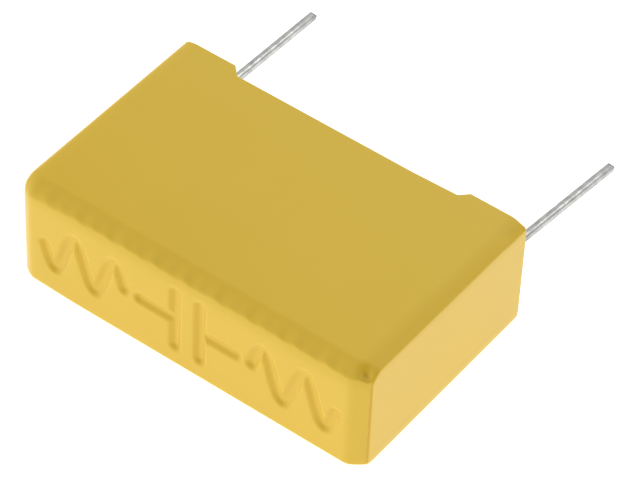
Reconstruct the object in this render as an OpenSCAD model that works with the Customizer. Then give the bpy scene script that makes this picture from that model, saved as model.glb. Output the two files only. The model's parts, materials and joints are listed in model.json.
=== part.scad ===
// Box film capacitor with two radial leads, lying on one of its broad faces.
// X runs along the case, Y runs the way the leads leave it and Z is up. The origin is on the
// resting face, under the middle of the case. Millimetres.

/* [Case] */
// Length of the case over its end walls
case_len = 26.5; // [26:0.5:31]
// Height of the case, from the closed face to the tips of the feet
case_h = 16.5; // [14.5:0.5:20]
// Thickness of the case over its broad walls
case_t = 8.5; // [7:0.5:11]
// Thickness of the end walls and broad walls
wall = 0.75; // [0.6:0.05:1.1]
// Thickness of the closed face
face_t = 1; // [0.7:0.1:1.5]
// Radius of the rolled outer edges
edge_r = 0.9; // [0.4:0.1:1.2]
// Radius in the upright corners of the cavity
cavity_r = 0.5; // [0.2:0.1:0.8]

/* [Feet] */
// Depth of the cut-back between the feet
notch_d = 0.7; // [0.4:0.1:1.2]
// Length of each foot's tip along the broad wall
foot_len = 4.2; // [3:0.1:6]
// Slope at each end of the cut-back, measured from the seating plane
notch_slope = 45; // [30:5:75]

/* [Centring ribs] */
// Distance between the two ribs inside the case
rib_pitch = 13; // [8:0.5:16]
// Thickness of a rib along the case
rib_t = 0.8; // [0.5:0.1:1.2]
// Length of a rib's free top, down from the top of the roll
rib_drop = 4; // [3:0.5:6]
// Clearance between a rib and the roll that it centres
rib_fit = 0.05; // [0.02:0.01:0.1]

/* [Winding] */
// Resin between the roll and each broad wall
side_gap = 0.35; // [0.25:0.05:0.6]
// Resin between the roll and the closed face
face_gap = 0.5; // [0.3:0.1:1]
// Resin over the roll, up to the resin's open face
cover = 1.6; // [1:0.1:2.5]
// Thickness of the sprayed metal at each end of the roll
spray_t = 0.45; // [0.3:0.05:0.8]
// Margin of bare film round the sprayed metal
spray_margin = 0.15; // [0.05:0.05:0.4]
// Depth of the resin's open face below the cut-back
resin_drop = 0.2; // [0.1:0.1:0.5]

/* [Leads] */
// Resin between each wire and the end wall beside it
end_gap = 0.95; // [0.8:0.05:1.5]
// Diameter of the tinned wire
lead_d = 0.6; // [0.5:0.1:0.8]
// Free length of the left lead beyond the seating plane
left_free_len = 10.8; // [3:0.1:25]
// Free length of the right lead beyond the seating plane
right_free_len = 11.4; // [3:0.1:25]
// Lean of the left lead towards +X
left_lean = 1.5; // [0.5:0.5:8]
// Lean of the right lead towards +X
right_lean = 5; // [0.5:0.5:8]
// How far the small knuckle at a lead's bend stands proud of the wire
knuckle = 0.03; // [0.02:0.01:0.06]
// Length of wire that lies against the sprayed metal
weld_len = 7; // [5.5:0.5:8]
// Depth to which the wire is welded into the sprayed metal
weld_sink = 0.1; // [0.05:0.05:0.2]
// Length of the flattened end of the wire
coin_len = 5; // [3:0.5:5.5]
// Width of the flattened end
coin_w = 0.8; // [0.8:0.05:1.1]
// Thickness of the flattened end
coin_t = 0.35; // [0.25:0.05:0.4]
// Depth to which the side against the sprayed metal is flattened
coin_press = 0.05; // [0.03:0.01:0.08]
// Length over which the wire spreads and slopes into its flattened end
coin_slope = 1; // [0.5:0.1:1.5]

/* [Hidden] */
$fn = 64;

LEFT = -1;
RIGHT = 1;
CASE_COLOUR = [0.87, 0.72, 0.31];
RESIN_COLOUR = [0.86, 0.78, 0.55];
FILM_COLOUR = [0.80, 0.81, 0.80];
SPRAY_COLOUR = [0.58, 0.59, 0.60];
TIN_COLOUR = [0.78, 0.79, 0.77];

// Levels along Y, from the closed face to the tips of the feet.
face_y = -case_h / 2;
floor_y = face_y + face_t;
seat_y = case_h / 2;
notch_y = seat_y - notch_d;
resin_y = notch_y - resin_drop;
roll_top_y = resin_y - cover;
roll_low_y = floor_y + face_gap;

// The cavity and the flattened roll that it holds, both centred on the middle plane.
mid_z = case_t / 2;
cavity_len = case_len - 2 * wall;
cavity_t = case_t - 2 * wall;
roll_t = cavity_t - 2 * side_gap;
roll_h = roll_top_y - roll_low_y;
roll_y = (roll_top_y + roll_low_y) / 2;

// Each wire stands end_gap from its end wall and is sunk into its sprayed end by weld_sink.
lead_r = lead_d / 2;
lead_x = cavity_len / 2 - end_gap - lead_r;
spray_x = lead_x - lead_r + weld_sink;
roll_len = 2 * (spray_x - spray_t);
weld_y = roll_top_y - spray_margin - weld_len;
coin_y = weld_y + coin_len;
// Each straight run of wire ends inside the knuckle, this far short of its middle.
knuckle_gap = lead_r / 4;
// How far a cutting solid runs past the surface that it opens.
past = 1;

// Turns a flat outline drawn in X and Z into a solid that runs the given length along +Y.
module along_y(length) {
    rotate([90, 0, 0]) mirror([0, 0, 1]) linear_extrude(length) children();
}

// Turns a flat outline drawn in Y and Z into a solid of the given length, centred along X.
module along_x(length) {
    rotate([90, 0, 90]) linear_extrude(length, center = true) children();
}

module rounded_rect(length, height, radius) {
    square([length - 2 * radius, height], center = true);
    square([length, height - 2 * radius], center = true);
    for (sx = [-1, 1], sy = [-1, 1])
        translate([sx * (length / 2 - radius), sy * (height / 2 - radius)]) circle(radius);
}

// Outer form of the moulding: straight sides up to the rim, and rolled edges with ball corners
// round the closed face.
module case_blank() {
    core_x = case_len / 2 - edge_r;
    core_z = case_t / 2 - edge_r;
    translate([0, face_y + edge_r, mid_z]) {
        along_y(case_h - edge_r) rounded_rect(case_len, case_t, edge_r);
        translate([0, -edge_r, 0]) along_y(edge_r) square([2 * core_x, 2 * core_z], center = true);
        for (side = [-1, 1]) {
            translate([side * core_x, 0, 0]) cylinder(r = edge_r, h = 2 * core_z, center = true);
            translate([0, 0, side * core_z]) rotate([0, 90, 0])
                cylinder(r = edge_r, h = 2 * core_x, center = true);
        }
        for (sx = [-1, 1], sz = [-1, 1]) translate([sx * core_x, 0, sz * core_z]) sphere(edge_r);
    }
}

// The space inside the case, from the closed face up to the given level.
module cavity(top_y) {
    translate([0, floor_y, mid_z]) along_y(top_y - floor_y)
        rounded_rect(cavity_len, cavity_t, cavity_r);
}

// The gap between the feet, cut through both broad walls with sloping ends.
module cut_back() {
    low_x = case_len / 2 - foot_len - notch_d / tan(notch_slope);
    top_x = case_len / 2 - foot_len + past / tan(notch_slope);
    translate([0, 0, -past]) linear_extrude(case_t + 2 * past)
        polygon([[-low_x, notch_y], [low_x, notch_y], [top_x, seat_y + past], [-top_x, seat_y + past]]);
}

// Outline of the flattened roll across its axis, grown on all sides by the given amount.
module roll_outline(grown) {
    radius = roll_t / 2 + grown;
    straight = roll_h - roll_t;
    translate([roll_y, mid_z]) {
        square([straight, 2 * radius], center = true);
        for (side = [-1, 1]) translate([side * straight / 2, 0]) circle(radius);
    }
}

// Ribs that stand on the closed face and both broad walls, and cradle the roll until it is potted.
module centring_ribs() {
    for (side = [-1, 1]) translate([side * rib_pitch / 2, 0, 0]) along_x(rib_t) difference() {
        translate([floor_y, wall]) square([roll_top_y - rib_drop - floor_y, cavity_t]);
        roll_outline(rib_fit);
    }
}

// One moulding, open on the lead side.
module case() {
    color(CASE_COLOUR) {
        difference() {
            case_blank();
            cavity(seat_y + past);
            cut_back();
        }
        centring_ribs();
    }
}

module film_winding() {
    color(FILM_COLOUR) along_x(roll_len) roll_outline(0);
}

// Layer of metal sprayed on one end of the roll.
module spray_layer(side) {
    translate([side * (spray_x - spray_t / 2), 0, 0]) along_x(spray_t) roll_outline(-spray_margin);
}

// The layer with the wire welded into its outer face.
module end_spray(side) {
    color(SPRAY_COLOUR) difference() {
        spray_layer(side);
        lead_root(side);
    }
}

// Outline of half a wire inside the case, turned about Y: spread where it will be flattened, then
// round up to the knuckle.
module wire_profile() {
    polygon([
        [0, weld_y], [coin_w / 2, weld_y], [coin_w / 2, coin_y - coin_slope], [lead_r, coin_y],
        [lead_r, resin_y - knuckle_gap], [0, resin_y - knuckle_gap]]);
}

// Space between the two dies that flatten a wire's end. The die on the -X side faces the sprayed
// metal, and both slope out of the wire's way above the flattened stretch.
module die_gap() {
    inner_x = coin_press - lead_r;
    outer_x = inner_x + coin_t;
    linear_extrude(2 * coin_w, center = true) polygon([
        [inner_x, weld_y - past], [outer_x, weld_y - past], [outer_x, coin_y - coin_slope],
        [lead_d, coin_y + coin_slope], [lead_d, resin_y], [-lead_d, resin_y],
        [-lead_d, coin_y + coin_slope], [inner_x, coin_y - coin_slope]]);
}

// Part of a wire inside the case: welded end, then straight up to the bend.
module lead_root(side) {
    translate([side * lead_x, 0, mid_z]) {
        mirror([side == LEFT ? 1 : 0, 0, 0]) intersection() {
            rotate([-90, 0, 0]) rotate_extrude() wire_profile();
            die_gap();
        }
        translate([0, resin_y, 0]) sphere(lead_r + knuckle);
    }
}

// One whole wire. It bends at its knuckle, half sunk in the resin's open face, and then runs
// straight past the seating plane to its cropped tip.
module lead(side, lean, free_len) {
    free_run = (seat_y - resin_y) / cos(lean) + free_len;
    color(TIN_COLOUR) {
        lead_root(side);
        translate([side * lead_x, resin_y, mid_z]) rotate([-90, 0, -lean])
            translate([0, 0, knuckle_gap]) cylinder(r = lead_r, h = free_run - knuckle_gap);
    }
}

// Resin that fills the cavity round the winding and the wires.
module potting_resin() {
    color(RESIN_COLOUR) difference() {
        cavity(resin_y);
        centring_ribs();
        film_winding();
        for (side = [LEFT, RIGHT]) {
            spray_layer(side);
            lead_root(side);
        }
    }
}

module end_spray_left() { end_spray(LEFT); }
module end_spray_right() { end_spray(RIGHT); }
module lead_left() { lead(LEFT, left_lean, left_free_len); }
module lead_right() { lead(RIGHT, right_lean, right_free_len); }

case();
potting_resin();
film_winding();
end_spray_left();
end_spray_right();
lead_left();
lead_right();
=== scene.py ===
import json
import math

import bpy
import numpy as np
from mathutils import Matrix, Vector


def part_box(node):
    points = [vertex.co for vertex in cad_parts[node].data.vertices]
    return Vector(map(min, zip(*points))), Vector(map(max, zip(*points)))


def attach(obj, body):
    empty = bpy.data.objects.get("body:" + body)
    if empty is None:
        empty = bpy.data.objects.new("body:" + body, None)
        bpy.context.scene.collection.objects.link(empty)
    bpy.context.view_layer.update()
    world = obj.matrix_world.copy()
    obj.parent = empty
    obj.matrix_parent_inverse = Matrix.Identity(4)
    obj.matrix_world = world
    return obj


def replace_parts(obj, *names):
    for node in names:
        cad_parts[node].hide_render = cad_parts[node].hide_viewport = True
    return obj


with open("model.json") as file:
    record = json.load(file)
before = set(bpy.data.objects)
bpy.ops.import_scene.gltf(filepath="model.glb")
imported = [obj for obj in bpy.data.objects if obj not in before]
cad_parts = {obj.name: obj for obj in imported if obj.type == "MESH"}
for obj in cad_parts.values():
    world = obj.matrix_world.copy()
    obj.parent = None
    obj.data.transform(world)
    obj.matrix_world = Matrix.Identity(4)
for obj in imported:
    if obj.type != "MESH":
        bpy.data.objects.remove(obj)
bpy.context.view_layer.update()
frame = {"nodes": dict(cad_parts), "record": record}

# ---------------------------------------------------------------- sizes
# Lengths are in metres. X runs along the case, Y the way the leads leave it, Z up.
MM = 0.001
case_lo, case_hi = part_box("case")
resin_lo, resin_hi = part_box("potting_resin")
MOUNTS = {m["name"]: m for m in frame["record"]["mounts"]}

WALL = resin_lo.x - case_lo.x
MID_Z = (case_lo.z + case_hi.z) / 2
HALF_X = (case_hi.x - case_lo.x) / 2
HALF_Z = (case_hi.z - case_lo.z) / 2
FACE_Y = case_lo.y
SEAT_Y = case_hi.y
FLOOR_Y = resin_lo.y
RESIN_Y = resin_hi.y
WIRE_R = MOUNTS["lead_left"]["dims"]["r_mm"] * MM

EDGE_R = 0.9 * MM
CAVITY_R = 0.5 * MM
RIM_BEVEL = 0.06 * MM

# ---------------------------------------------------------------- node helpers
# The colour sockets of a mix node, by their places.
MIX_FACTOR, MIX_FIRST, MIX_SECOND, MIX_RESULT = 0, 6, 7, 2


def node(tree, kind, **inputs):
    """A new shader node with its named sockets set to values or linked to other sockets."""
    made = tree.nodes.new(kind)
    for name, value in inputs.items():
        socket = made.inputs[name.replace("_", " ")]
        if isinstance(value, bpy.types.NodeSocket):
            tree.links.new(value, socket)
        else:
            socket.default_value = value
    return made


def new_material(name):
    """A node material with nothing in it yet, and its tree."""
    mat = bpy.data.materials.new(name)
    mat.use_nodes = True
    mat.node_tree.nodes.clear()
    return mat, mat.node_tree


def object_coords(tree):
    """The object's own coordinates, which pin a pattern to its surface."""
    return tree.nodes.new("ShaderNodeTexCoord").outputs["Object"]


def noise(tree, coords, per_metre, detail=3.0, roughness=0.5, stretch=(1, 1, 1)):
    """Noise in the object's own coordinates; per_metre is how many features fit in a metre."""
    mapping = node(tree, "ShaderNodeMapping", Vector=coords, Scale=stretch)
    made = node(tree, "ShaderNodeTexNoise", Vector=mapping.outputs["Vector"], Scale=per_metre,
                Detail=detail, Roughness=roughness)
    return made.outputs["Fac"]


def spread(tree, value, low, high, start=0.35, stop=0.65):
    """Maps a value from start..stop to low..high; the defaults span what most noise gives."""
    made = node(tree, "ShaderNodeMapRange", Value=value, From_Min=start, From_Max=stop,
                To_Min=low, To_Max=high)
    return made.outputs["Result"]


def blend_colour(tree, factor, first, second):
    """Mixes two colours; the first may be a socket."""
    made = tree.nodes.new("ShaderNodeMix")
    made.data_type = "RGBA"
    tree.links.new(factor, made.inputs[MIX_FACTOR])
    if isinstance(first, bpy.types.NodeSocket):
        tree.links.new(first, made.inputs[MIX_FIRST])
    else:
        made.inputs[MIX_FIRST].default_value = (*first, 1)
    made.inputs[MIX_SECOND].default_value = (*second, 1)
    return made.outputs[MIX_RESULT]


def dot(tree, vector, way):
    """The dot product of a vector socket and a fixed way."""
    made = tree.nodes.new("ShaderNodeVectorMath")
    made.operation = "DOT_PRODUCT"
    tree.links.new(vector, made.inputs[0])
    made.inputs[1].default_value = way
    return made.outputs["Value"]


def maths(tree, operation, first, second):
    """One step of arithmetic on two sockets."""
    made = tree.nodes.new("ShaderNodeMath")
    made.operation = operation
    tree.links.new(first, made.inputs[0])
    tree.links.new(second, made.inputs[1])
    return made.outputs["Value"]


def attribute(tree, name):
    """The value that each point of the mesh carries under a name."""
    made = tree.nodes.new("ShaderNodeAttribute")
    made.attribute_name = name
    return made.outputs["Fac"]


def bump(tree, height, distance, strength, under=None):
    """The normal that a height gives, over the normal of an earlier bump."""
    made = node(tree, "ShaderNodeBump", Height=height, Distance=distance, Strength=strength)
    if under is not None:
        tree.links.new(under, made.inputs["Normal"])
    return made.outputs["Normal"]


def surface(tree, colour, roughness, normal, metallic=0.0, specular=0.5):
    """Ends a material in a principled shader and returns that shader."""
    shader = node(tree, "ShaderNodeBsdfPrincipled", Base_Color=colour, Roughness=roughness,
                  Normal=normal, Metallic=metallic, Specular_IOR_Level=specular)
    node(tree, "ShaderNodeOutputMaterial", Surface=shader.outputs["BSDF"])
    return shader


# ---------------------------------------------------------------- materials
YELLOW_DEEP = (0.858, 0.564, 0.040)
YELLOW_BRIGHT = (0.908, 0.604, 0.049)
# The whiter yellow of the painted sheen on the upper face.
YELLOW_SHEEN = (0.905, 0.640, 0.082)
RESIN_DARK = (0.66, 0.50, 0.22)
RESIN_LIGHT = (0.74, 0.58, 0.28)
FILM_DARK = (0.55, 0.56, 0.56)
FILM_LIGHT = (0.68, 0.69, 0.68)
ZINC_DARK = (0.24, 0.25, 0.26)
ZINC_LIGHT = (0.42, 0.43, 0.44)
TIN_DARK = (0.45, 0.45, 0.44)
TIN_LIGHT = (0.64, 0.64, 0.62)
TIN_TINT = (0.35, 0.35, 0.34)
CROP_GREY = (0.24, 0.24, 0.24)

# Painted sheen: the flat of the moulding's upper face is painted paler towards the rim and the
# right end, where it
# catches more light: how much X, Y and Z count, the sums at which it starts and ends, and how pale
# it gets.
SHEEN_WAY = (0.1, 0.25, 30)
SHEEN_FROM = 252.2 * MM
SHEEN_TO = 258.1 * MM
SHEEN_SHARE = 0.8

# Values that the points of a wire's mesh carry: cropped or not, and how much it was handled.
CROP_ATTRIBUTE = "crop"
WEAR_ATTRIBUTE = "wear"


def yellow_plastic():
    """Moulded plastic, faintly clouded, rippled and grained, with a painted sheen paling its upper
    face.
    """
    mat, tree = new_material("yellow_plastic")
    at = object_coords(tree)
    cloud = noise(tree, at, per_metre=130, detail=8.0, roughness=0.6)
    grain = noise(tree, at, per_metre=9000, detail=2.0)
    ripple = noise(tree, at, per_metre=260, detail=1.0)
    clouding = spread(tree, cloud, low=0, high=1, start=0.1, stop=0.9)
    clouded = blend_colour(tree, clouding, YELLOW_DEEP, YELLOW_BRIGHT)
    # Painted sheen: the upper face is painted paler towards the rim and the right end, as light
    # falls there.
    upper = dot(tree, at, SHEEN_WAY)
    painted_sheen = spread(tree, upper, low=0, high=SHEEN_SHARE, start=SHEEN_FROM, stop=SHEEN_TO)
    colour = blend_colour(tree, painted_sheen, clouded, YELLOW_SHEEN)
    rough = spread(tree, cloud, low=0.25, high=0.35, start=0.1, stop=0.9)
    rippled = bump(tree, ripple, distance=0.012 * MM, strength=0.3)
    normal = bump(tree, grain, distance=0.004 * MM, strength=0.4, under=rippled)
    surface(tree, colour, rough, normal, specular=0.36)
    return mat


def cast_resin():
    """Cloudy resin with an uneven, finely pitted face."""
    mat, tree = new_material("cast_resin")
    at = object_coords(tree)
    cloud = noise(tree, at, per_metre=500, detail=5.0)
    pits = noise(tree, at, per_metre=2600, detail=2.0)
    colour = blend_colour(tree, spread(tree, cloud, low=0, high=1), RESIN_DARK, RESIN_LIGHT)
    rough = spread(tree, pits, low=0.32, high=0.5)
    clouded = bump(tree, cloud, distance=0.05 * MM, strength=0.5)
    normal = bump(tree, pits, distance=0.01 * MM, strength=0.4, under=clouded)
    surface(tree, colour, rough, normal)
    return mat


def metallised_film():
    """Film with a thin layer of metal; its turns run along the roll's axis."""
    mat, tree = new_material("metallised_film")
    at = object_coords(tree)
    turns = noise(tree, at, per_metre=1200, detail=2.0, stretch=(0.03, 1, 1))
    colour = blend_colour(tree, spread(tree, turns, low=0, high=1), FILM_DARK, FILM_LIGHT)
    rough = spread(tree, turns, low=0.18, high=0.3)
    normal = bump(tree, turns, distance=0.02 * MM, strength=0.5)
    surface(tree, colour, rough, normal, metallic=0.6)
    return mat


def sprayed_zinc():
    """Dull, gritty metal, as it lands from a spray gun."""
    mat, tree = new_material("sprayed_zinc")
    at = object_coords(tree)
    grit = noise(tree, at, per_metre=6000, detail=6.0, roughness=0.7)
    colour = blend_colour(tree, spread(tree, grit, low=0, high=1), ZINC_DARK, ZINC_LIGHT)
    rough = spread(tree, grit, low=0.55, high=0.8)
    normal = bump(tree, grit, distance=0.06 * MM, strength=0.9)
    surface(tree, colour, rough, normal, metallic=0.7)
    return mat


def tinned_copper():
    """Dipped tin: bright, a little uneven, duller towards the handled tip and darker at its cut."""
    mat, tree = new_material("tinned_copper")
    at = object_coords(tree)
    streak = noise(tree, at, per_metre=5200, detail=4.0, roughness=0.65, stretch=(1, 0.3, 1))
    blotch = noise(tree, at, per_metre=1500, detail=3.0)
    tin = blend_colour(tree, spread(tree, blotch, low=0, high=1), TIN_DARK, TIN_LIGHT)
    colour = blend_colour(tree, attribute(tree, CROP_ATTRIBUTE), tin, CROP_GREY)
    streaked = spread(tree, streak, low=0.12, high=0.34)
    handled = spread(tree, attribute(tree, WEAR_ATTRIBUTE), low=0, high=0.5, start=0, stop=1)
    rough = maths(tree, "MAXIMUM", streaked, handled)
    streaks = bump(tree, streak, distance=0.02 * MM, strength=0.7)
    normal = bump(tree, blotch, distance=0.02 * MM, strength=0.5, under=streaks)
    shader = surface(tree, colour, rough, normal, metallic=1.0)
    shader.inputs["Specular Tint"].default_value = (*TIN_TINT, 1)
    return mat


# ---------------------------------------------------------------- mesh helpers
SMOOTH_ANGLE = math.radians(40)


def make_piece(name, verts, faces, material):
    """A mesh object that rides on the part, shaded smooth wherever its faces meet softly."""
    mesh = bpy.data.meshes.new(name)
    mesh.from_pydata([tuple(map(float, v)) for v in verts], [], faces)
    mesh.validate()
    mesh.update()
    obj = bpy.data.objects.new(name, mesh)
    bpy.context.scene.collection.objects.link(obj)
    mesh.materials.append(material)
    mesh.shade_smooth()
    mesh.set_sharp_from_angle(angle=SMOOTH_ANGLE)
    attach(obj, "root")
    return obj


def ring_faces(first, second, count):
    """Quads between two closed rings of count vertices, given where each ring starts."""
    return [(first + i, first + (i + 1) % count, second + (i + 1) % count, second + i)
            for i in range(count)]


def smooth_step(value, low, high):
    """0 up to low, 1 from high on, and a smooth rise between them."""
    t = np.clip((value - low) / (high - low), 0, 1)
    return t * t * (3 - 2 * t)


def spaced(low, high, step, fixed=()):
    """Values from low to high about one step apart, with every fixed value among them."""
    stops = sorted({low, high, *fixed})
    values = [stops[0]]
    for a, b in zip(stops[:-1], stops[1:]):
        count = max(1, round((b - a) / step))
        values.extend(a + (b - a) * (i + 1) / count for i in range(count))
    return values


# ---------------------------------------------------------------- moulding's outer skin
# The moulding's faces fall away softly before they meet at a fine arris.


def soft_fall(curved_mm, straight_mm, degrees):
    """A fall's curved run, its straight run up to the arris, and the straight run's slope."""
    return curved_mm * MM, straight_mm * MM, math.tan(math.radians(degrees))


# Falls of the broad faces towards the right end, the left end and the closed face.
BROAD_END_FALL = soft_fall(0.64, 0.64, 15)
BROAD_END_FALL_LEFT = soft_fall(0.6, 0.3, 10)
BROAD_FRONT_FALL = soft_fall(0.65, 0.38, 42)
# Falls of the closed face towards its top, the right end and the left end.
FACE_TOP_FALL = soft_fall(0.9, 0.6, 13)
FACE_END_FALL = soft_fall(0.69, 0.74, 34)
FACE_END_FALL_LEFT = soft_fall(0.6, 0.5, 30)
# Fall of the end walls towards both broad faces.
END_WALL_FALL = soft_fall(0.7, 0.2, 8)
# The lower broad face has only these shares of its falls towards the ends and the closed face.
UNDER_END_SHARE = 0.76
UNDER_FRONT_SHARE = 0.52
# A little more is gone where three faces meet.
BALL_FALL = 0.06 * MM
BALL_REACH = 0.9 * MM
# The arris's radius, and how far the larger one at the left end reaches along X.
ARRIS_R = 0.1 * MM
ARRIS_R_LEFT = 0.35 * MM
ARRIS_BLEND = 6 * MM
# How unevenly the upper front edge falls, as a share, and its waves: radians a metre, and phase.
EDGE_WAVER = 0.06
EDGE_WAVES = ((2900, 0), (5300, 1))
# Sink marks near two corners of the upper face, each a place in X and Y, a depth and a radius.
SINK_MARKS = (
    (12.64 * MM, -7.43 * MM, 0.56 * MM, 0.3 * MM),
    (12.95 * MM, 6.9 * MM, 0.14 * MM, 0.65 * MM),
)
# A fine parting line beside the arris of the right upright corner.
PARTING_AT = 0.09 * MM
PARTING_HALF = 0.045 * MM
PARTING_DEPTH = 0.1 * MM
# Points are settled on the skin in this many steps. The slope is taken over the probe, and its
# square is never taken as less than the least one.
SETTLE_STEPS = 12
PROBE = 0.001 * MM
LEAST_SQUARE = 0.05


def fall(distance, shape):
    """How far a face has fallen at a distance from its arris."""
    curved, straight, slope = shape
    bend = np.clip((curved + straight - distance) / curved, 0, 1)
    return slope * (curved * bend * bend / 2 + np.maximum(straight - distance, 0))


def inside_end(points):
    """How far points lie inside the nearer end, with its falls above and below."""
    x, _, z = points.T
    return HALF_X - np.abs(x) - fall(HALF_Z - np.abs(z - MID_Z), END_WALL_FALL)


def behind_front(points):
    """How far points lie behind the closed face, with its falls at both ends and at the top."""
    x, y, z = points.T
    from_end = inside_end(points)
    corner = np.where(x > 0, fall(from_end, FACE_END_FALL), fall(from_end, FACE_END_FALL_LEFT))
    return y - FACE_Y - corner - fall(MID_Z + HALF_Z - z, FACE_TOP_FALL)


def sunk(x, y):
    """How deep the sink marks are at a place on the upper face."""
    return sum(depth * np.exp(-((x - mark_x) ** 2 + (y - mark_y) ** 2) / radius ** 2)
               for mark_x, mark_y, depth, radius in SINK_MARKS)


def outside(points):
    """About how far points lie outside the moulding's outer skin, negative inside."""
    x, y, z = points.T
    above = z > MID_Z
    from_end = inside_end(points)
    from_front = behind_front(points)
    side = np.where(x > 0, fall(from_end, BROAD_END_FALL), fall(from_end, BROAD_END_FALL_LEFT))
    side *= np.where(above, 1, UNDER_END_SHARE)
    front = fall(from_front, BROAD_FRONT_FALL) * np.where(above, 1, UNDER_FRONT_SHARE)
    front *= 1 + EDGE_WAVER * above * sum(np.sin(x * rate + phase) for rate, phase in EDGE_WAVES)
    near_end = np.clip(1 - from_end / BALL_REACH, 0, 1)
    near_front = np.clip(1 - from_front / BALL_REACH, 0, 1)
    ball = BALL_FALL * (near_end * near_front) ** 2
    broad = np.abs(z - MID_Z) - HALF_Z + np.hypot(side, front) + ball + above * sunk(x, y)
    sides = np.stack([broad, -from_front, -from_end])
    left = 1 - smooth_step(x, -HALF_X, -HALF_X + ARRIS_BLEND)
    arris = ARRIS_R + (ARRIS_R_LEFT - ARRIS_R) * left
    return np.minimum(sides.max(0), -arris) + np.linalg.norm(np.maximum(sides + arris, 0), axis=0)


def settle(points, level=0.0, keep_y=False):
    """Moves points along the skin's normal until they lie on it, or at a level beside it."""
    points = np.array(points, float)
    for _ in range(SETTLE_STEPS):
        value = outside(points) - level
        slope = np.stack([(outside(points + step) - outside(points - step)) / (2 * PROBE)
                          for step in np.eye(3) * PROBE], 1)
        if keep_y:
            slope[:, 1] = 0
        size = np.maximum((slope * slope).sum(1), LEAST_SQUARE)
        points -= slope * (value / size)[:, None]
    return points


def parted(points):
    """Sinks the parting line into the band beside the right upright corner's arris."""
    line = np.exp(-((inside_end(points) - PARTING_AT) / PARTING_HALF) ** 2
                  - (behind_front(points) / ARRIS_R) ** 2)
    return points + np.outer(line, (0, PARTING_DEPTH, 0))


# ---------------------------------------------------------------- motif
# The closed face carries a sunk motif: a capacitor sign between two alternating waves.
MOTIF_DEPTH = 0.24 * MM
GROOVE_HALF = 0.12 * MM
GROOVE_EDGE = 0.55 * MM
PLATE_GAP = 0.95 * MM
PLATE_HALF = 2.3 * MM
SIGN_REACH = 3.7 * MM
WAVE_START = 4.9 * MM
WAVE_END = 11.2 * MM
WAVE_HEIGHT = 1.7 * MM
WAVES = 2
WAVE_STEPS = 24


def motif_lines():
    """The motif's centre lines in X and Z, about the middle of the closed face."""
    lines = []
    for side in (-1, 1):
        plate_x = side * PLATE_GAP
        lines.append([(plate_x, -PLATE_HALF), (plate_x, PLATE_HALF)])
        lines.append([(plate_x, 0), (side * SIGN_REACH, 0)])
        wave = []
        for t in np.linspace(0, 1, WAVE_STEPS * WAVES + 1):
            x = side * (WAVE_START + t * (WAVE_END - WAVE_START))
            wave.append((x, WAVE_HEIGHT * math.sin(2 * math.pi * WAVES * t)))
        lines.append(wave)
    return lines


def distance_to_lines(x, z, lines):
    """How far places in X and Z lie from the nearest of some lines."""
    best = np.full(x.shape, np.inf)
    for line in lines:
        for (ax, az), (bx, bz) in zip(line[:-1], line[1:]):
            dx, dz = bx - ax, bz - az
            t = np.clip(((x - ax) * dx + (z - az) * dz) / (dx * dx + dz * dz), 0, 1)
            best = np.minimum(best, np.hypot(x - ax - t * dx, z - az - t * dz))
    return best


# ---------------------------------------------------------------- moulded case
# The cut-back between the feet runs a little shallower up to the right foot.
NOTCH_DEPTH = 0.7 * MM
NOTCH_RISE = 0.13 * MM
NOTCH_RISE_REACH = 4 * MM
FOOT_LENGTH_LEFT = 4.02 * MM
FOOT_LENGTH_RIGHT = 4.2 * MM
# The feet's outer corners are rounded off slightly.
FOOT_TIP_FALL = 0.2 * MM
FOOT_TIP_REACH = 0.9 * MM
# Steps of the mesh round a quarter turn, across the closed face and up past its edge's bend, up
# the plain wall, and up past the second sink mark.
ARC_STEPS = 32
GRID_STEP = 0.085 * MM
WALL_STEP = 4 * MM
SINK_STEP = 0.35 * MM
# How far the fine steps go on past the closed face's straight fall, and how many radii before the
# middle of the second sink mark its own steps start.
BEND_REACH = 1.4 * MM
SINK_RADII = 2.4
# Levels above the closed face of the extra rings that carry the parting line, and their step.
PARTING_LEVELS = (0.51 * MM, 0.69 * MM, 0.013 * MM)

# Half sizes of the flats between the rolled edges, and between the cavity's round corners.
CORE_X = HALF_X - EDGE_R
CORE_Z = HALF_Z - EDGE_R
CAVITY_X = HALF_X - WALL - CAVITY_R
CAVITY_Z = HALF_Z - WALL - CAVITY_R


def section_ring(xs, zs, core_x, core_z, radius):
    """A rounded rectangle in X and Z, going round from the low X, low Z corner."""

    def arc(cx, cz, start):
        angles = [start + math.pi / 2 * (i + 1) / ARC_STEPS for i in range(ARC_STEPS)]
        return [(cx + radius * math.cos(a), cz + radius * math.sin(a)) for a in angles]

    ring = [(x * core_x, -core_z - radius) for x in xs]
    ring += arc(core_x, -core_z, -math.pi / 2)
    ring += [(core_x + radius, z * core_z) for z in zs[1:]]
    ring += arc(core_x, core_z, 0)
    ring += [(x * core_x, core_z + radius) for x in xs[-2::-1]]
    ring += arc(-core_x, core_z, math.pi / 2)
    ring += [(-core_x - radius, z * core_z) for z in zs[-2::-1]]
    ring += arc(-core_x, -core_z, math.pi)[:-1]
    return ring


def face_border(nx, nz):
    """Indices round the closed face's grid, as section_ring goes, each corner held for its arc."""
    border = [i * nz for i in range(nx)]
    border += [border[-1]] * ARC_STEPS
    border += [(nx - 1) * nz + j for j in range(1, nz)]
    border += [border[-1]] * ARC_STEPS
    border += [i * nz + nz - 1 for i in range(nx - 2, -1, -1)]
    border += [border[-1]] * ARC_STEPS
    border += list(range(nz - 2, -1, -1))
    border += [border[-1]] * (ARC_STEPS - 1)
    return border


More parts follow.
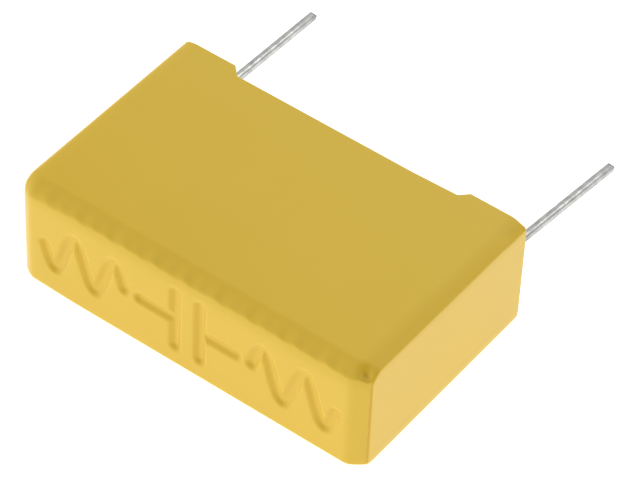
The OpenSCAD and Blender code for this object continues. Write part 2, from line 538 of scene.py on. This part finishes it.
def rim_y(x, z):
    """Level of the rim: the feet's tips, and the cut-back with its sloping ends between them."""
    if abs(z) < CAVITY_Z:
        return SEAT_Y
    near_end = max(0, 1 - (HALF_X - abs(x)) / FOOT_TIP_REACH)
    near_side = max(0, 1 - (HALF_Z - abs(z)) / FOOT_TIP_REACH)
    foot_y = SEAT_Y - FOOT_TIP_FALL * (near_end * near_side) ** 2
    if x < 0:
        return foot_y - min(NOTCH_DEPTH, max(0, HALF_X - FOOT_LENGTH_LEFT + x))
    from_foot = max(0, HALF_X - FOOT_LENGTH_RIGHT - x)
    rise = NOTCH_RISE * max(0, 1 - from_foot / NOTCH_RISE_REACH)
    return foot_y - min(NOTCH_DEPTH - rise, from_foot)


def closed_face(xs, zs):
    """The closed face's grid, settled on the skin, with the motif sunk into it."""
    x, z = (grid.ravel() for grid in np.meshgrid(xs, zs, indexing="ij"))
    face = settle(np.stack([x, np.full(x.shape, FACE_Y), MID_Z + z], 1))
    away = distance_to_lines(x, z, motif_lines())
    face[:, 1] += MOTIF_DEPTH * (1 - smooth_step(away, GROOVE_HALF, GROOVE_EDGE))
    return face


def edge_rings(xs, zs):
    """Rings out over the closed face's edge."""
    angles = [math.pi / 2 * i / ARC_STEPS for i in range(1, ARC_STEPS + 1)]
    angles += [math.acos(1 - level / EDGE_R) for level in np.arange(*PARTING_LEVELS)]
    rings = []
    for angle in sorted(angles):
        ring = section_ring(xs, zs, CORE_X, CORE_Z, EDGE_R * math.sin(angle))
        level = FACE_Y + EDGE_R * (1 - math.cos(angle))
        rings.append(parted(settle([(x, level, MID_Z + z) for x, z in ring])))
    return rings


def wall_rings(xs, zs):
    """Rings up the outside of the walls and over the rim's outer bevel."""
    _, face_run, _ = FACE_END_FALL
    _, mark_y, _, mark_radius = SINK_MARKS[1]
    bend_end = FACE_Y + face_run + BEND_REACH
    mark_start = mark_y - SINK_RADII * mark_radius
    top_y = SEAT_Y - NOTCH_DEPTH - RIM_BEVEL
    levels = spaced(FACE_Y + EDGE_R, bend_end, GRID_STEP)[1:]
    levels += spaced(bend_end, mark_start, WALL_STEP)[1:]
    levels += spaced(mark_start, top_y, SINK_STEP)[1:]
    outer = section_ring(xs, zs, CORE_X, CORE_Z, EDGE_R)
    rings = [settle([(x, level, MID_Z + z) for x, z in outer], keep_y=True) for level in levels]
    for inset, drop in ((0.0, RIM_BEVEL), (RIM_BEVEL, 0.0)):
        ring = [(x, rim_y(x, z) - drop, MID_Z + z) for x, z in outer]
        rings.append(settle(ring, -inset, keep_y=True))
    return rings


def cavity_rings(xs, zs):
    """Rings over the rim's inner bevel and down to the cavity's floor."""
    xs = [max(-1, min(1, x * CORE_X / CAVITY_X)) for x in xs]
    inner = section_ring(xs, zs, CAVITY_X, CAVITY_Z, CAVITY_R)
    widened = section_ring(xs, zs, CAVITY_X, CAVITY_Z, CAVITY_R + RIM_BEVEL)
    return [[(x, rim_y(x, z), MID_Z + z) for x, z in widened],
            [(x, rim_y(x, z) - RIM_BEVEL, MID_Z + z) for x, z in inner],
            [(x, FLOOR_Y, MID_Z + z) for x, z in inner]]


def moulded_case(material):
    """The case as one skin: closed face, rolled edge, walls, rim, and down into the cavity."""
    # The mesh has a line at each corner of the cut-back.
    left_foot = FOOT_LENGTH_LEFT - HALF_X
    right_foot = HALF_X - FOOT_LENGTH_RIGHT
    corners = [left_foot, left_foot + NOTCH_DEPTH]
    corners += [right_foot - NOTCH_DEPTH + NOTCH_RISE, right_foot]
    xs = spaced(-1, 1, GRID_STEP / CORE_X, [x / CORE_X for x in corners])
    zs = spaced(-1, 1, GRID_STEP / CORE_Z)
    nx, nz = len(xs), len(zs)
    verts = list(closed_face(np.array(xs) * CORE_X, np.array(zs) * CORE_Z))
    faces = [(i * nz + j, (i + 1) * nz + j, (i + 1) * nz + j + 1, i * nz + j + 1)
             for i in range(nx - 1) for j in range(nz - 1)]

    starts = []
    for ring in edge_rings(xs, zs) + wall_rings(xs, zs) + cavity_rings(xs, zs):
        starts.append(len(verts))
        verts.extend(ring)
    count = len(verts) - starts[-1]
    for a, b in zip(starts[:-1], starts[1:]):
        faces += ring_faces(a, b, count)
    faces.append(tuple(range(starts[-1], starts[-1] + count)))

    # Join the first ring to the closed face; a held corner turns a quad into a triangle.
    border = face_border(nx, nz)
    first = starts[0]
    for i in range(count):
        j = (i + 1) % count
        quad = [border[i], border[j], first + j, first + i]
        faces.append(tuple(dict.fromkeys(quad)))
    piece = make_piece("case_moulding", verts, faces, material)
    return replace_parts(piece, "case")


# ---------------------------------------------------------------- ribs
# Two ribs stand on the closed face and cradle the roll, with a fit round it, up to a drop below
# its top.
RIB_PITCH = 13 * MM
RIB_WIDTH = 0.8 * MM
RIB_FIT = 0.05 * MM
RIB_DROP = 4 * MM
RIB_ARC_STEPS = 32
# How far they are sunk into the walls that they stand on.
RIB_SINK = 0.06 * MM


def cradle_ribs(material):
    """Both ribs as one piece, each a flat plate with a round hollow for the roll."""
    roll_lo, roll_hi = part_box("film_winding")
    radius = (roll_hi.z - roll_lo.z) / 2 + RIB_FIT
    arc_y = roll_lo.y - RIB_FIT + radius
    low_y, top_y = FLOOR_Y - RIB_SINK, roll_hi.y - RIB_DROP
    low_z, high_z = resin_lo.z - RIB_SINK, resin_hi.z + RIB_SINK
    outline = [(top_y, high_z), (low_y, high_z), (low_y, low_z), (top_y, low_z)]
    outline.append((top_y, MID_Z - radius))
    for i in range(RIB_ARC_STEPS, -1, -1):
        angle = math.pi / 2 + math.pi * i / RIB_ARC_STEPS
        outline.append((arc_y + radius * math.cos(angle), MID_Z + radius * math.sin(angle)))
    outline.append((top_y, MID_Z + radius))
    count = len(outline)
    verts, faces = [], []
    for middle in (-RIB_PITCH / 2, RIB_PITCH / 2):
        start = len(verts)
        for x in (middle - RIB_WIDTH / 2, middle + RIB_WIDTH / 2):
            verts += [(x, y, z) for y, z in outline]
        faces += [face[::-1] for face in ring_faces(start, start + count, count)]
        faces.append(tuple(range(start, start + count)))
        faces.append(tuple(range(start + 2 * count - 1, start + count - 1, -1)))
    return make_piece("cradle_ribs", verts, faces, material)


# ---------------------------------------------------------------- resin's open face
# The resin crept up the walls and the wires before it set, and the rise fades with the distance.
WALL_RISE = 0.15 * MM
WALL_REACH = 0.22 * MM
WIRE_RISE = 0.32 * MM
WIRE_REACH = 0.16 * MM
# The step of the skin's grid, and how far its underside lies below the solid resin's face.
SKIN_STEP = 0.14 * MM
SKIN_DEPTH = 0.05 * MM
# Its face is uneven: the height of its waves, how many heights lift them clear of the solid, the
# swells' radians a metre and phases, and the cross wave's radians a metre along X and Z.
SKIN_WAVE = 0.012 * MM
SKIN_LIFT = 2.2
SWELL_X = (700, 1.3)
SWELL_Z = (1500, 0.4)
CROSS_WAVE = (1900, 900)
# Stands in for a length of nothing in a division.
TINY = 1e-9


def cavity_grid(half_x, half_z):
    """A grid over the cavity, squeezed into its round corners, and the distances to its walls."""
    gx, gz = np.meshgrid(np.array(spaced(-half_x, half_x, SKIN_STEP)),
                         np.array(spaced(-half_z, half_z, SKIN_STEP)), indexing="ij")
    u = np.maximum(np.abs(gx) - (half_x - CAVITY_R), 0)
    v = np.maximum(np.abs(gz) - (half_z - CAVITY_R), 0)
    in_corner = (u > 0) & (v > 0)
    squeeze = np.maximum(u, v) / np.maximum(np.hypot(u, v), TINY)
    x = np.where(in_corner, np.sign(gx) * (half_x - CAVITY_R + u * squeeze), gx)
    z = np.where(in_corner, np.sign(gz) * (half_z - CAVITY_R + v * squeeze), gz)
    return x, z, np.minimum(half_x - np.abs(gx), half_z - np.abs(gz))


def resin_skin(material, wires):
    """A thin uneven slab on the resin's open face, raised along its walls and round its wires."""
    half_x = (resin_hi.x - resin_lo.x) / 2
    half_z = (resin_hi.z - resin_lo.z) / 2
    x, z, to_wall = cavity_grid(half_x, half_z)
    rise = WALL_RISE * np.exp(-to_wall / WALL_REACH)
    for wire_x in wires:
        away = np.maximum(np.hypot(x - wire_x, z) - WIRE_R, 0)
        rise = np.maximum(rise, WIRE_RISE * np.exp(-away / WIRE_REACH))
    swell = np.sin(x * SWELL_X[0] + SWELL_X[1]) * np.sin(z * SWELL_Z[0] + SWELL_Z[1])
    wave = swell + np.sin(x * CROSS_WAVE[0] + z * CROSS_WAVE[1])
    y = RESIN_Y + SKIN_WAVE * (SKIN_LIFT + wave) + rise
    low_y = np.full(x.shape, RESIN_Y - SKIN_DEPTH)
    verts = []
    for level in (y, low_y):
        verts.extend(zip(x.ravel(), level.ravel(), (MID_Z + z).ravel()))
    nx, nz = x.shape
    below = nx * nz
    faces = []
    for i in range(nx - 1):
        for j in range(nz - 1):
            quad = (i * nz + j, i * nz + j + 1, (i + 1) * nz + j + 1, (i + 1) * nz + j)
            faces += [quad, tuple(below + k for k in reversed(quad))]
    border = [i * nz for i in range(nx)]
    border += [(nx - 1) * nz + j for j in range(1, nz)]
    border += [i * nz + nz - 1 for i in range(nx - 2, -1, -1)]
    border += list(range(nz - 2, 0, -1))
    for a, b in zip(border, border[1:] + border[:1]):
        faces.append((a, b, b + below, a + below))
    return make_piece("resin_skin", verts, faces, material)


# ---------------------------------------------------------------- leads
# The wire's mesh, and its bend at the resin's face, where it swells slightly.
WIRE_SIDES = 32
WIRE_STEP = 0.16 * MM
BEND_R = 1.1 * MM
BEND_STEPS = 6
BEND_SWELL = 0.02 * MM
# The tin's waves: their height, and each one's radians a metre, turns round the wire, and phase,
# which has the sign of the wire's side.
TIN_WAVE = 0.002 * MM
TIN_WAVES = ((2600, 2, 0), (5900, 3, 1))
# The flattened end; a lower power makes its section squarer.
COIN_LENGTH = 5 * MM
COIN_SLOPE = 1 * MM
COIN_WIDTH = 0.8 * MM
COIN_THICK = 0.35 * MM
COIN_PRESS = 0.05 * MM
COIN_POWER = 0.35
# The cut across each tip slants back towards the wire's upper side, and goes back further at the
# corner towards one side, given in X and Z. The skin is set back less and less up to the reach.
CROP_TILT = math.radians(39)
CROP_CORNER = 0.36 * MM
CROP_CORNER_SIDE = (0.872, -0.489)
CROP_REACH = 1.2 * MM
# The wire flares a little towards the tip, and its very edge is drawn in.
CROP_FLARE = 0.015 * MM
CROP_ROUND = 0.03 * MM
# How far from the tip the wire looks cropped, and over what lengths its flare and wear fade.
CROP_LENGTH = 0.06 * MM
FLARE_LENGTH = 2 * CROP_LENGTH
WEAR_LENGTH = 4.5 * MM


def wire_path(knuckle, axis, low_y, free_end):
    """Stations from the welded end to the tip: each a point and the wire's lean there."""
    lean = math.atan2(axis.x, axis.y)
    half_bend = BEND_R * math.tan(lean / 2)
    stations = [(Vector((knuckle.x, y, knuckle.z)), 0.0)
                for y in spaced(low_y, knuckle.y - half_bend, WIRE_STEP)]
    centre = Vector((knuckle.x + BEND_R, knuckle.y - half_bend, knuckle.z))
    for i in range(1, BEND_STEPS + 1):
        angle = lean * i / BEND_STEPS
        stations.append((centre + BEND_R * Vector((-math.cos(angle), math.sin(angle), 0)), angle))
    for run in spaced(half_bend, free_end, WIRE_STEP)[1:]:
        stations.append((knuckle + axis * run, lean))
    return stations


def tin_wave(run, angle, side):
    """How far the dipped tin stands out at a place along and round a wire."""
    return TIN_WAVE * sum(math.sin(run * rate + phase * side + turns * angle)
                          for rate, turns, phase in TIN_WAVES)


def bar_section(c, s, side):
    """A point of the flattened end: a flat bar pressed from the side of the sprayed metal."""
    x = math.copysign(abs(c) ** COIN_POWER, c) * COIN_THICK / 2
    z = math.copysign(abs(s) ** COIN_POWER, s) * COIN_WIDTH / 2
    return x + side * (COIN_THICK / 2 + COIN_PRESS - WIRE_R), z


def tip_setback(x, z, to_tip):
    """How far the cut across the tip sets a point of the wire's skin back."""
    corner = (x * CROP_CORNER_SIDE[0] + z * CROP_CORNER_SIDE[1]) / WIRE_R
    cut = math.tan(CROP_TILT) * z + CROP_CORNER * max(0, 2 * corner - 1)
    return cut * max(0, 1 - to_tip / CROP_REACH)


def tinned_lead(side, material):
    """One wire, coined below, bent at the resin and cropped at its tip. Returns its place in X."""
    mount = MOUNTS["lead_left" if side < 0 else "lead_right"]
    at_seat, axis = Vector(mount["pos_m"]), Vector(mount["axis"])
    buried = (SEAT_Y - RESIN_Y) / axis.y
    knuckle = at_seat - axis * buried
    length = mount["dims"]["length_mm"] * MM
    low_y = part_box("lead_left" if side < 0 else "lead_right")[0].y
    coin_y = low_y + COIN_LENGTH
    stations = wire_path(knuckle, axis, low_y, buried + length)
    tip, _ = stations[-1]
    angles = [2 * math.pi * i / WIRE_SIDES for i in range(WIRE_SIDES)]
    verts, marks, wear = [], [], []
    for index, (point, lean) in enumerate(stations):
        across = Vector((math.cos(lean), -math.sin(lean), 0))
        along = Vector((math.sin(lean), math.cos(lean), 0))
        flat = 1 - smooth_step(point.y, coin_y - COIN_SLOPE, coin_y)
        swell = BEND_SWELL * math.exp(-((point - knuckle).length / WIRE_R) ** 2)
        to_tip = (tip - point).length
        flare = CROP_FLARE * math.exp(-to_tip / FLARE_LENGTH) - CROP_ROUND * (to_tip == 0)
        for angle in angles:
            wave = 0 if flat > 0 or index == 0 else tin_wave(point.y, angle, side)
            radius = WIRE_R + swell + flare + wave
            c, s = math.cos(angle), math.sin(angle)
            bar_x, bar_z = bar_section(c, s, side)
            x = radius * c + (bar_x - radius * c) * flat
            z = radius * s + (bar_z - radius * s) * flat
            skin = point + across * x + Vector((0, 0, z))
            verts.append(skin - along * tip_setback(x, z, to_tip))
            marks.append(1.0 if to_tip < CROP_LENGTH else 0.0)
            wear.append(math.exp(-to_tip / WEAR_LENGTH))
    last = (len(stations) - 1) * WIRE_SIDES
    faces = []
    for start in range(0, last, WIRE_SIDES):
        faces += ring_faces(start, start + WIRE_SIDES, WIRE_SIDES)
    faces.append(tuple(range(WIRE_SIDES))[::-1])
    faces.append(tuple(range(last, last + WIRE_SIDES)))
    name = "tinned_lead_left" if side < 0 else "tinned_lead_right"
    piece = make_piece(name, verts, faces, material)
    for label, values in ((CROP_ATTRIBUTE, marks), (WEAR_ATTRIBUTE, wear)):
        piece.data.attributes.new(label, "FLOAT", "POINT").data.foreach_set("value", values)
    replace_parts(piece, "lead_left" if side < 0 else "lead_right")
    return knuckle.x


# ---------------------------------------------------------------- build

PLASTIC = yellow_plastic()
RESIN = cast_resin()
TIN = tinned_copper()
moulded_case(PLASTIC)
cradle_ribs(PLASTIC)
resin_skin(RESIN, [tinned_lead(side, TIN) for side in (-1, 1)])
SPRAY = sprayed_zinc()
CAD_FINISH = {
    "potting_resin": RESIN,
    "film_winding": metallised_film(),
    "end_spray_left": SPRAY,
    "end_spray_right": SPRAY,
}
for name, material in CAD_FINISH.items():
    frame["nodes"][name].data.materials.clear()
    frame["nodes"][name].data.materials.append(material)

# ---------------------------------------------------------------- studio
# The floor is a wide sheet just under the part, and glows to stand out evenly pale.
FLOOR_SIZE = 1.2
FLOOR_DROP = 0.02 * MM
FLOOR_GREY = (0.6, 0.6, 0.6)
FLOOR_GLOW = 0.9
GLOW_WHITE = (1, 1, 1)
# The tent's light at the horizon and overhead, and how it leans to one side.
HORIZON = 1.64
ZENITH = 0.98
SIDE_LIGHT = (0.265, -0.163, 0)
# The way to the dark opening, and the cosine at which it begins.
SHADE_WAY = (0.76, -0.637, 0.13)
SHADE_EDGE = 0.045
# The strip of light high behind the part, and the dark board low on its right: the way to each,
# the cosines at which it begins and is full, and what the strip adds or the board leaves.
STRIP_WAY = (0.28, 0.573, 0.77)
STRIP_EDGES = (0.982, 0.996)
STRIP_GLOW = 1.7
BOARD_WAY = (0.8, 0.573, 0.18)
BOARD_EDGES = (0.86, 0.97)
BOARD_SHARE = 0.65


def floor_paint():
    """Matt paint that glows a little by itself."""
    mat, tree = new_material("studio_floor")
    shader = node(tree, "ShaderNodeBsdfPrincipled", Base_Color=(*FLOOR_GREY, 1), Roughness=0.6,
                  Emission_Color=(*GLOW_WHITE, 1), Emission_Strength=FLOOR_GLOW)
    node(tree, "ShaderNodeOutputMaterial", Surface=shader.outputs["BSDF"])
    return mat


def studio():
    """The pale floor that the part lies on."""
    half = FLOOR_SIZE / 2
    mesh = bpy.data.meshes.new("studio_floor")
    corners = [(-half, -half), (half, -half), (half, half), (-half, half)]
    mesh.from_pydata([(x, y, case_lo.z - FLOOR_DROP) for x, y in corners], [], [(0, 1, 2, 3)])
    floor = bpy.data.objects.new("studio_floor", mesh)
    bpy.context.scene.collection.objects.link(floor)
    mesh.materials.append(floor_paint())


def tent():
    """A light tent, brighter low down, with a dark opening low on the camera's side."""
    world = bpy.data.worlds.new("light_tent")
    bpy.context.scene.world = world
    world.use_nodes = True
    tree = world.node_tree
    tree.nodes.clear()
    way = tree.nodes.new("ShaderNodeTexCoord").outputs["Generated"]
    split = node(tree, "ShaderNodeSeparateXYZ", Vector=way)

    def lobe(direction, away, full, start, stop):
        """A soft-edged change of light, from away to full as the way turns to a direction."""
        made = spread(tree, dot(tree, way, direction), away, full, start, stop)
        made.node.interpolation_type = "SMOOTHSTEP"
        return made

    level = spread(tree, split.outputs["Z"], HORIZON, ZENITH, start=0, stop=1)
    leaning = spread(tree, dot(tree, way, SIDE_LIGHT), low=0, high=2, start=-1, stop=1)
    level = maths(tree, "MULTIPLY", level, leaning)
    level = maths(tree, "MULTIPLY", level, lobe(SHADE_WAY, 1, 0, SHADE_EDGE, 1))
    level = maths(tree, "MULTIPLY", level, lobe(BOARD_WAY, 1, BOARD_SHARE, *BOARD_EDGES))
    level = maths(tree, "ADD", level, lobe(STRIP_WAY, 0, STRIP_GLOW, *STRIP_EDGES))
    back = node(tree, "ShaderNodeBackground", Strength=level)
    node(tree, "ShaderNodeOutputWorld", Surface=back.outputs["Background"])


# ---------------------------------------------------------------- camera
CAMERA_AZIMUTH = math.radians(34.98)
CAMERA_ELEVATION = math.radians(45.61)
CAMERA_ROLL = math.radians(2.84)
CAMERA_DISTANCE = 225.3 * MM
CAMERA_SHIFT_RIGHT = 3.22 * MM
CAMERA_SHIFT_UP = 3.616 * MM
CLIP_START = 0.01
CLIP_END = 10
# Blender takes these two in millimetres.
LENS = 202.7
SENSOR_WIDTH = 36


def camera():
    """The camera at the photograph's angle."""
    back = Vector((math.sin(CAMERA_AZIMUTH) * math.cos(CAMERA_ELEVATION),
                   -math.cos(CAMERA_AZIMUTH) * math.cos(CAMERA_ELEVATION),
                   math.sin(CAMERA_ELEVATION)))
    right = Vector((0, 0, 1)).cross(back).normalized()
    turn = Matrix((right, back.cross(right), back)).transposed()
    turn = turn @ Matrix.Rotation(CAMERA_ROLL, 3, "Z")
    place = turn @ Vector((CAMERA_SHIFT_RIGHT, CAMERA_SHIFT_UP, CAMERA_DISTANCE))
    lens = bpy.data.cameras.new("camera")
    lens.lens = LENS
    lens.sensor_width = SENSOR_WIDTH
    lens.clip_start = CLIP_START
    lens.clip_end = CLIP_END
    obj = bpy.data.objects.new("camera", lens)
    obj.matrix_world = Matrix.Translation(place) @ turn.to_4x4()
    bpy.context.scene.collection.objects.link(obj)
    bpy.context.scene.camera = obj


studio()
tent()
camera()
bpy.context.scene.view_settings.view_transform = "Standard"
